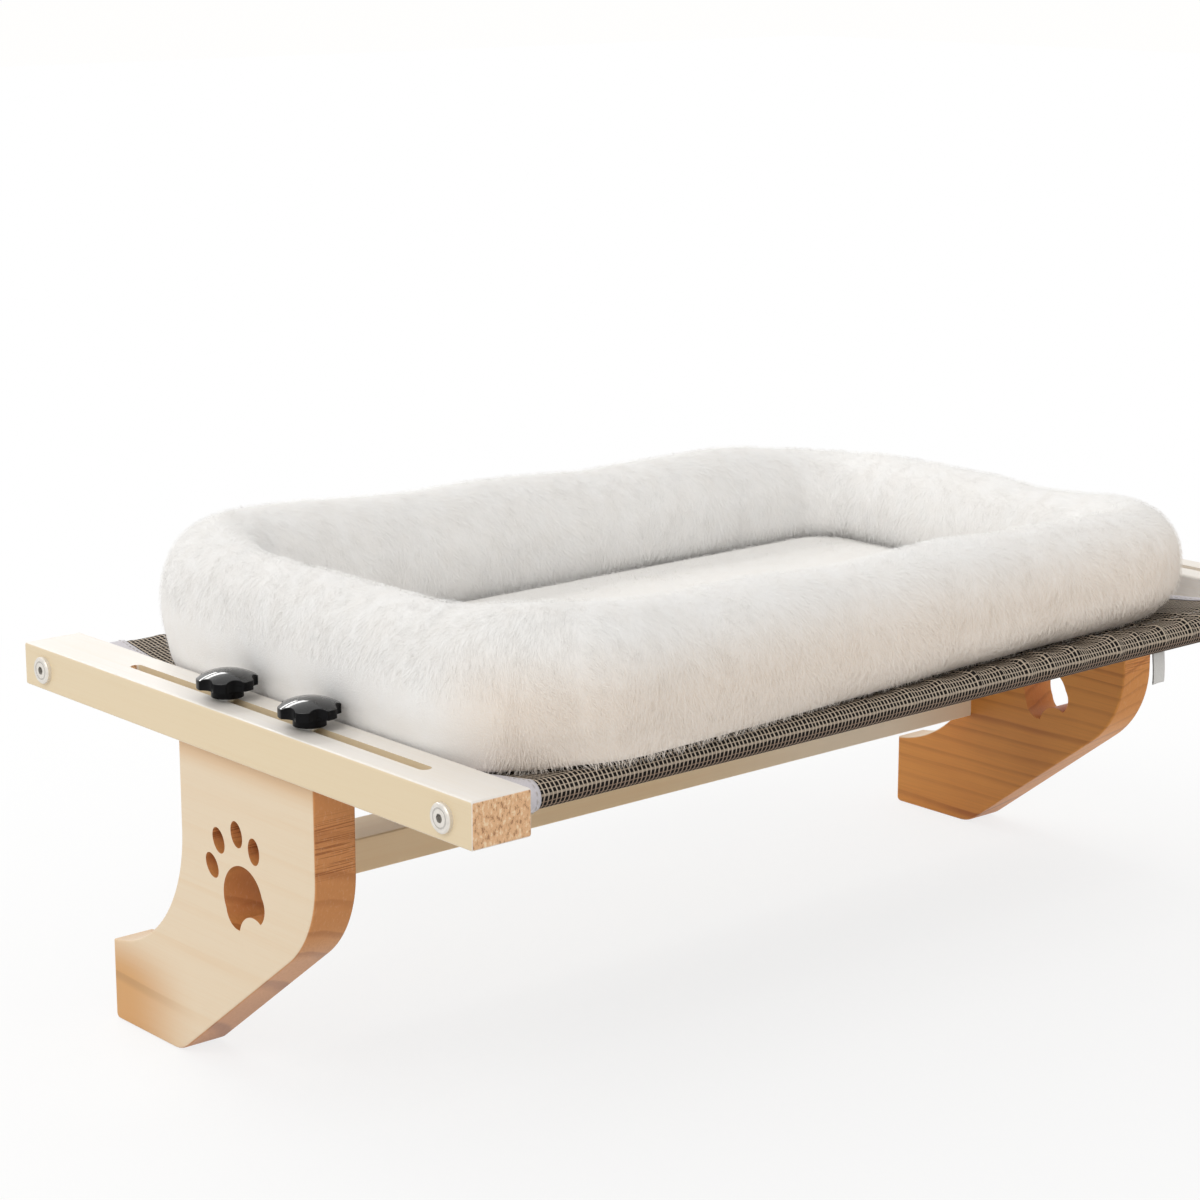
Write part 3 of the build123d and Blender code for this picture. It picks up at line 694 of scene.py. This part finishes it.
def make_tab():
    """Satin loop tab: one tape folded in two, its ends caught under the front sleeve."""
    low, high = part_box("sling_tab")
    width = high.x - low.x
    run = np.linspace(0, 1, 60)
    columns = np.linspace(-0.5, 0.5, 9)
    drop = high.z - low.z
    points, maps = [], []
    for t in run:
        leg = min(t, 1 - t) * 2
        front = -1 if t < 0.5 else 1
        z = high.z - leg * (drop - 0.4 * MM)
        gap = 0.45 * MM * (1 - max(0.0, (leg - 0.93) / 0.07) ** 2) ** 0.5 + 0.05 * MM
        sway = 0.9 * MM * sin(leg * 2.2) - 0.4 * MM * leg
        for s in columns:
            cup = 0.5 * MM * (2 * s) ** 2 * leg
            x = (low.x + high.x) / 2 + s * width * (1 - 0.03 * leg)
            y = (low.y + high.y) / 2 + front * gap - sway - cup
            points.append((x, y, z + 0.3 * MM * s * leg))
            maps.append((s * width, t * 2 * drop))
    tab = make_object("blank_tab", np.array(points), grid_faces(len(run), len(columns)))
    set_map(tab, "Cloth", np.array(maps))
    tab.data.materials.append(tab_look)
    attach(tab, "frame")
    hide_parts("sling_tab")
    return tab, 2 * drop


# Bed

def bed_corners(inset):
    """Corners of the bed's outline, drawn in by inset, anticlockwise from the front left."""
    left, right = BED_LEFT + inset, BED_RIGHT - inset
    front_left = BED_FRONT + inset
    front_right = front_left + BED_SETBACK
    rear = BED_REAR - inset
    return [(left, front_left), (right, front_right), (right, rear), (left, rear)]


def rounded_loop(corners, radius, step):
    """Points, outward normals and runs along a closed polygon with rounded corners, anticlockwise from
    the first corner's far tangent point."""
    corners = [np.array(c) for c in corners]
    count = len(corners)
    line = []
    for i, corner in enumerate(corners):
        before, after = corners[i - 1], corners[(i + 1) % count]
        d_in = (corner - before) / np.linalg.norm(corner - before)
        d_out = (after - corner) / np.linalg.norm(after - corner)
        turn = np.arccos(np.clip(d_in @ d_out, -1, 1))
        back = radius * np.tan(turn / 2)
        start = corner - d_in * back
        left = np.array([-d_in[1], d_in[0]])
        centre = start + left * radius
        for t in np.linspace(0, turn, 24):
            spin = np.array([[cos(t), -sin(t)], [sin(t), cos(t)]])
            line.append(centre + spin @ (start - centre))
    line = np.array(line + [line[0]])
    run = np.concatenate([[0], np.cumsum(np.linalg.norm(np.diff(line, axis=0), axis=1))])
    total = run[-1]
    count = round(total / step)
    at = np.arange(count) * total / count
    points = np.stack([np.interp(at, run, line[:, i]) for i in (0, 1)], 1)
    tangent = np.roll(points, -2, 0) - np.roll(points, 2, 0)
    tangent /= np.linalg.norm(tangent, axis=1)[:, None]
    return points, np.stack([tangent[:, 1], -tangent[:, 0]], 1), at


def round_spline(points, count):
    """A closed Catmull-Rom curve through the points, evenly spaced along its run."""
    points = np.asarray(points, float)
    fine = []
    for i in range(len(points)):
        p0, p1, p2, p3 = (points[(i + k) % len(points)] for k in (-1, 0, 1, 2))
        for t in np.linspace(0, 1, 40, endpoint=False):
            fine.append(0.5 * (2 * p1 + (p2 - p0) * t + (2 * p0 - 5 * p1 + 4 * p2 - p3) * t**2
                               + (3 * p1 - p0 - 3 * p2 + p3) * t**3))
    fine = np.array(fine + [fine[0]])
    run = np.concatenate([[0], np.cumsum(np.linalg.norm(np.diff(fine, axis=0), axis=1))])
    at = np.linspace(0, run[-1], count, endpoint=False)
    return np.stack([np.interp(at, run, fine[:, i]) for i in (0, 1)], 1)


# Crest heights over the boards: (x, y, height) at places round the bed, as the photograph shows them
CREST = [(-0.262, -0.165, 72), (-0.16, -0.163, 66), (0.0, -0.155, 62), (0.14, -0.148, 57),
         (0.232, -0.13, 54), (0.242, 0.0, 50), (0.235, 0.13, 53), (0.1, 0.142, 60),
         (-0.1, 0.142, 66), (-0.24, 0.135, 70), (-0.266, 0.03, 63), (-0.268, -0.07, 63)]


def crest_height(points):
    """Crest height at each outline point, blended from the places nearest to it."""
    known = np.array(CREST)
    gap = np.linalg.norm(points[:, None, :] - known[None, :, :2], axis=2)
    weight = 1 / (gap**2 + 0.03**2) ** 1.5
    return (weight * known[None, :, 2]).sum(1) / weight.sum(1) * MM


def make_wall_skin():
    """Stuffed wall: a closed rounded section led round the bed's outline, flat where it rests."""
    inset = WALL_WIDTH / 2
    centre, outward, at = rounded_loop(bed_corners(inset), BED_CORNER - inset, 3.2 * MM)
    height = crest_height(centre)
    rings, around = len(centre), 76
    points = np.empty((rings, around, 3))
    left_share = step_between(centre[:, 0], 0.1, -0.2)
    for i in range(rings):
        foot = 0.32 - 0.16 * left_share[i]
        section = [(foot, -0.16), (0.03, 0.14), (0.0, 0.40), (0.05, 0.66), (0.2, 0.88), (0.5, 1.0),
                   (0.8, 0.88), (0.96, 0.62), (1.0, 0.36), (0.96, 0.08), (0.80, -0.18), (0.56, -0.3)]
        line = round_spline(section, around)
        out = (0.5 - line[:, 0]) * WALL_WIDTH
        rise = line[:, 1] * np.where(line[:, 1] > 0, height[i], WALL_FOOT_DEPTH)
        points[i, :, 0] = centre[i, 0] + outward[i, 0] * out
        points[i, :, 1] = centre[i, 1] + outward[i, 1] * out
        points[i, :, 2] = BOARD_TOP + rise
    flat = points.reshape(-1, 3)
    along = np.broadcast_to(at[:, None], (rings, around)).ravel()
    turn = np.broadcast_to(np.arange(around)[None, :] * 2.9 * MM, (rings, around)).ravel()
    normal = lattice_normals(points, True, True).reshape(-1, 3)
    swell = smooth_noise(along, turn, 31, 0.085) * 2.3 * MM
    swell = swell + smooth_noise(along, turn, 32, 0.034) * 0.9 * MM
    swell = swell + smooth_noise(along, turn, 33, 0.012) * 0.25 * MM
    upper = step_between(flat[:, 2], BOARD_TOP - 6 * MM, BOARD_TOP + 12 * MM)
    flat = flat + normal * (swell * upper)[:, None]
    floor = panel_height(flat[:, 1]) + 1.6 * MM
    flat[:, 2] = np.maximum(flat[:, 2], floor)
    points = flat.reshape(rings, around, 3)
    skin = make_object("bed_wall", flat, grid_faces(rings, around, True, True))
    skin.data.materials.append(wall_look)
    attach(skin, "bed")
    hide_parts("bed_bolster")
    return points


def lattice_normals(points, wrap_rows, wrap_columns):
    """Unit normals at the points of a lattice, outward for the wall and inward for the floor cushion."""
    def change(axis, wrap):
        if wrap:
            return np.roll(points, -1, axis) - np.roll(points, 1, axis)
        return np.gradient(points, axis=axis)

    normal = np.cross(change(0, wrap_rows), change(1, wrap_columns))
    normal /= np.maximum(np.linalg.norm(normal, axis=-1), 1e-12)[..., None]
    return normal


def make_pile(name, points, wrap, allowed, count, length, width, lean, seed, look):
    """Fine flat blades rooted over a lattice of points, combed down the slope with some scatter. They lie
    close to the surface and face outward, so that the coat stays pale."""
    rng = np.random.default_rng(seed)
    rows, columns, _ = points.shape
    normals = lattice_normals(points, *wrap) * (1 if wrap[0] else -1)
    r_end = rows if wrap[0] else rows - 1
    c_end = columns if wrap[1] else columns - 1
    cells = np.meshgrid(np.arange(r_end), np.arange(c_end), indexing="ij")
    r_cell, c_cell = (a.ravel() for a in cells)
    r_next, c_next = (r_cell + 1) % rows, (c_cell + 1) % columns
    spots = [(r_cell, c_cell), (r_next, c_cell), (r_cell, c_next), (r_next, c_next)]
    corner = [points[spot] for spot in spots]
    area = np.linalg.norm(np.cross(corner[1] - corner[0], corner[2] - corner[0]), axis=1)
    middle = sum(corner) / 4
    weight = area * allowed(middle, normals[r_cell, c_cell])
    pick = rng.choice(len(weight), count, p=weight / weight.sum())
    a, b = rng.random((2, count, 1))
    blend = [(1 - a) * (1 - b), a * (1 - b), (1 - a) * b, a * b]
    root = sum(share * place[pick] for share, place in zip(blend, corner))
    normal = sum(share * normals[r[pick], c[pick]] for share, (r, c) in zip(blend, spots))
    normal /= np.linalg.norm(normal, axis=1)[:, None]
    down = np.array([0, 0, -1.0]) + normal * normal[:, 2:3]

    def flow(first_seed, scale):
        return np.stack([smooth_noise(root[:, i], root[:, (i + 1) % 3], first_seed + i, scale)
                         for i in range(3)], 1)

    swirl, drift = flow(seed + 1, 0.022), flow(seed + 5, 0.007)
    comb = down * lean + swirl * 0.7 + drift * 0.3 + rng.normal(0, 0.35, (count, 3))
    comb -= normal * (comb * normal).sum(1)[:, None]
    strength = np.maximum(np.linalg.norm(comb, axis=1)[:, None], 1e-9)
    comb *= np.maximum(1.0, LEAST_LEAN / strength)
    direction = normal + comb
    direction /= np.linalg.norm(direction, axis=1)[:, None]
    side = np.cross(direction, normal + rng.normal(0, 0.06, (count, 3)))
    side /= np.maximum(np.linalg.norm(side, axis=1), 1e-9)[:, None]
    long = length * rng.uniform(0.65, 1.15, (count, 1))
    broad = width * rng.uniform(0.7, 1.3, (count, 1)) / 2
    base = root - normal * BLADE_BURIED
    waist = root + direction * long * 0.5 + normal * long * 0.02
    tip = root + direction * long - normal * long * 0.04
    verts = np.stack([base, waist + side * broad, tip, waist - side * broad], 1)
    outward = np.cross(verts[:, 1] - verts[:, 0], verts[:, 3] - verts[:, 0])
    turned = (outward * normal).sum(1) < 0
    verts[turned] = verts[turned][:, [0, 3, 2, 1]]
    start = np.arange(count)[:, None] * 4
    faces = np.concatenate([start + [0, 1, 3], start + [1, 2, 3]], 1).reshape(-1, 3)
    pile = make_object(name, verts.reshape(-1, 3), faces)
    at = np.column_stack([(r_cell[pick] + a[:, 0]) / r_end, (c_cell[pick] + b[:, 0]) / c_end])
    blade_map = np.array([(0, 0), (0.0006, 0.0006), (0, 0.0012), (-0.0006, 0.0006)])
    set_map(pile, "OFBake", (at[:, None, :] * 0.99 + 0.004 + blade_map).reshape(-1, 2))
    pile.data.materials.append(look)
    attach(pile, "bed")


def wall_part(low, high):
    """Weight of a wall place for one stretch of the bed's outline, none where the wall rests."""
    middle = np.array([(BED_LEFT + BED_RIGHT) / 2, (BED_FRONT + BED_REAR) / 2])

    def allowed(place, facing):
        angle = np.degrees(np.arctan2(place[:, 1] - middle[1], place[:, 0] - middle[0])) % 360
        after, before = angle >= low, angle < high
        inside = after & before if low < high else after | before
        clear = place[:, 2] > panel_height(place[:, 1]) + 2.2 * MM
        out = step_between(place[:, 0], KNOB_SIDE + KNOB_SIDE_FADE, KNOB_SIDE)
        low_down = step_between(place[:, 2], KNOB_REACH + KNOB_REACH_FADE, KNOB_REACH)
        return inside * clear * (1 - out * low_down) * np.where(facing[:, 2] > -0.75, 1.0, 0.15)

    return allowed


def make_floor_cushion():
    """Floor cushion: crowned, rounded all round, with its underside on the hammock. Returns the points of
    its upper side."""
    edge, _, _ = rounded_loop(bed_corners(WALL_WIDTH + 1 * MM), FLOOR_CORNER, 4 * MM)
    middle = edge.mean(0)
    loop = edge - middle
    _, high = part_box("bed_floor_cushion")
    base = BOARD_TOP + FLOOR_SIDE
    upper = []
    for t in np.linspace(0, 1, 34):
        inwardness = sin(t * pi / 2) ** 0.9
        xy = middle + loop * (1 - inwardness)
        crown = 1 - (1 - inwardness) ** 2.2
        z = base + (high.z - base) * crown ** 0.75
        dimple = smooth_noise(xy[:, 0], xy[:, 1], 41, 0.05, 2) * 1.1 * MM * crown
        upper.append(np.column_stack([xy, np.full(len(xy), z) + dimple]))
    under = []
    for inwardness in (0.0, 0.03, 0.1, 0.3, 0.6, 0.97):
        xy = middle + loop * (1 - inwardness)
        under.append(np.column_stack([xy, panel_height(xy[:, 1]) + 1.7 * MM]))
    lattice = np.array(under[::-1] + upper)
    faces = grid_faces(len(lattice), len(edge), False, True)[:, ::-1]
    cushion = make_object("bed_floor", lattice.reshape(-1, 3), faces)
    cushion.data.materials.append(floor_look)
    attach(cushion, "bed")
    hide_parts("bed_floor_cushion")
    return np.array(upper)


def make_base_cloth():
    """Bottom cloth of the bed, lying on the hammock inside the foot of the wall. Returns it with the size
    and area of its outline."""
    inset = 0.38 * WALL_WIDTH
    edge, _, _ = rounded_loop(bed_corners(inset), BED_CORNER - inset, 6 * MM)
    middle = edge.mean(0)
    rows = []
    for share in np.linspace(1.0, 0.02, 40):
        xy = middle + (edge - middle) * share
        ripple = smooth_noise(xy[:, 0], xy[:, 1], 51, 0.03) * 0.08 * MM
        rows.append(np.column_stack([xy, panel_height(xy[:, 1]) + 0.75 * MM + ripple]))
    lattice = np.array(rows)
    faces = grid_faces(len(rows), len(edge), False, True)
    cloth = make_object("bed_base", lattice.reshape(-1, 3), faces)
    set_map(cloth, "Cloth", lattice.reshape(-1, 3)[:, :2])
    cloth.data.materials.append(base_look)
    solidify(cloth, 0.6 * MM)
    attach(cloth, "bed")
    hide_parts("bed_base_cloth")
    after = np.roll(edge, -1, 0)
    area = 0.5 * abs(np.sum(edge[:, 0] * after[:, 1] - after[:, 0] * edge[:, 1]))
    size = edge.max(0) - edge.min(0)
    return cloth, size, float(area)


sling, sling_run = make_sling()
hems = [make_hem(f"mesh_hem_{side}", f"sling_hem_{side}", sign)
        for side, sign in (("left", -1), ("right", 1))]
seams = [make_stitches(f"seam_stitches_{end}", seam_runs(sign), 0.55 * MM, 3.1 * MM, stitch_look, "frame")
         for end, sign in (("front", -1), ("rear", 1))]
hem_seams = [make_stitches(f"hem_stitches_{side}", hem_runs(sign), 0.45 * MM, 2.6 * MM, stitch_look, "frame")
             for side, sign in (("left", -1), ("right", 1))]
tab, tab_length = make_tab()

wall = make_wall_skin()
cushion = make_floor_cushion()
base, base_size, base_area = make_base_cloth()

# Each stretch of the wall: from and to which angle round the bed, its seed and its share of the blades
for label, start, end, seed, share in (("front", 215, 325, 61, 1.0), ("right", 325, 40, 62, 0.75),
                                       ("rear", 40, 145, 63, 1.0), ("left", 145, 215, 64, 0.9)):
    make_pile(f"wall_pile_{label}", wall, (True, True), wall_part(start, end), int(TUFTS * share),
              6.0 * MM, 0.22 * MM, 1.2, RNG_SEED + seed, wall_hair)
make_pile("floor_pile", cushion, (False, True), lambda place, facing: np.ones(len(place)),
          int(TUFTS * FLOOR_TUFT_SHARE), 4.0 * MM, 0.2 * MM, 0.2, RNG_SEED + 65, floor_hair)


# Floor, light and camera

AMBIENT = 0.69
KEY_STRENGTH = 0.74
EYE_PLACE = (-1.1287, -1.2141, 0.4219)
EYE_TILT = radians(90 - 13.22)
EYE_TURN = radians(-40.83)


def make_floor():
    """Pale floor just under the lowest point: nearly white to the camera, with a faint shadow."""
    low, _ = cad_box
    side = 9.0
    level = low.z - 0.3 * MM
    corners = [(-side, -side, level), (side, -side, level), (side, side, level), (-side, side, level)]
    floor = make_object("floor", corners, [(0, 1, 2, 3)], False)
    g = Graph("pale_floor")
    g.finish(Base_Color=(0.9, 0.9, 0.9), Roughness=0.9, Specular_IOR_Level=0.1)
    away = g.add("ShaderNodeVectorMath", {0: g.place()}, "Value", operation="LENGTH")
    rays = g.tree.nodes.new("ShaderNodeLightPath").outputs
    other = g.math("MAXIMUM", rays["Is Glossy Ray"], rays["Is Transmission Ray"])
    seen = g.math("MAXIMUM", rays["Is Camera Ray"], other)
    white = g.add("ShaderNodeEmission", {"Color": (1, 1, 1), "Strength": 1.0})
    share = g.math("MULTIPLY", seen, g.span(away, 0.30, 0.95, 0.8, 1.0))
    output = g.tree.nodes["Material Output"]
    shader = g.add("ShaderNodeMixShader", {0: share, 1: g.shader.outputs[0], 2: white})
    g.tree.links.new(shader, output.inputs["Surface"])
    floor.data.materials.append(g.material)


def make_world():
    """Even light on the object, with nearly white surroundings for the camera and in reflections."""
    world = bpy.data.worlds.new("studio")
    bpy.context.scene.world = world
    world.use_nodes = True
    tree = world.node_tree
    background = tree.nodes["Background"]
    background.inputs["Color"].default_value = (1.0, 0.995, 0.985, 1)
    rays = tree.nodes.new("ShaderNodeLightPath").outputs
    largest = rays["Is Camera Ray"]
    for name in ("Is Glossy Ray", "Is Transmission Ray"):
        node = tree.nodes.new("ShaderNodeMath")
        node.operation = "MAXIMUM"
        tree.links.new(largest, node.inputs[0])
        tree.links.new(rays[name], node.inputs[1])
        largest = node.outputs[0]
    strength = tree.nodes.new("ShaderNodeMapRange")
    strength.inputs["To Min"].default_value = AMBIENT
    strength.inputs["To Max"].default_value = 1.0
    tree.links.new(largest, strength.inputs["Value"])
    tree.links.new(strength.outputs[0], background.inputs["Strength"])


def make_light(name, kind, place, target, energy, **settings):
    """Lamp at a place, aimed at a target."""
    light = bpy.data.lights.new(name, kind)
    light.energy = energy
    for key, value in settings.items():
        setattr(light, key, value)
    lamp = bpy.data.objects.new(name, light)
    bpy.context.scene.collection.objects.link(lamp)
    lamp.location = place
    aim = Vector(target) - Vector(place)
    lamp.rotation_euler = aim.to_track_quat("-Z", "Y").to_euler()


make_floor()
make_world()
make_light("key", "SUN", (-2.2, -0.9, 2.4), (0, 0, 0), KEY_STRENGTH, angle=radians(28),
           color=(1.0, 0.985, 0.96))
# Two strips on the window side, aimed at the left knobs
for number, (height, width, power) in enumerate(((1.66, 0.30, 12.0), (1.20, 0.09, 6.0))):
    make_light(f"window_strip_{number}", "AREA", (0.25, 2.05, height), (-0.31, -0.01, 0.03), power,
               shape="RECTANGLE", size=1.5, size_y=width, color=(1.0, 0.99, 0.98))

camera = bpy.data.cameras.new("camera")
camera.sensor_width = 36.0
camera.lens = 88.54
camera.clip_start, camera.clip_end = 0.05, 60.0
eye = bpy.data.objects.new("camera", camera)
bpy.context.scene.collection.objects.link(eye)
eye.location = EYE_PLACE
eye.rotation_euler = Euler((EYE_TILT, 0.0, EYE_TURN))
bpy.context.scene.camera = eye
bpy.context.scene.view_settings.view_transform = "Standard"
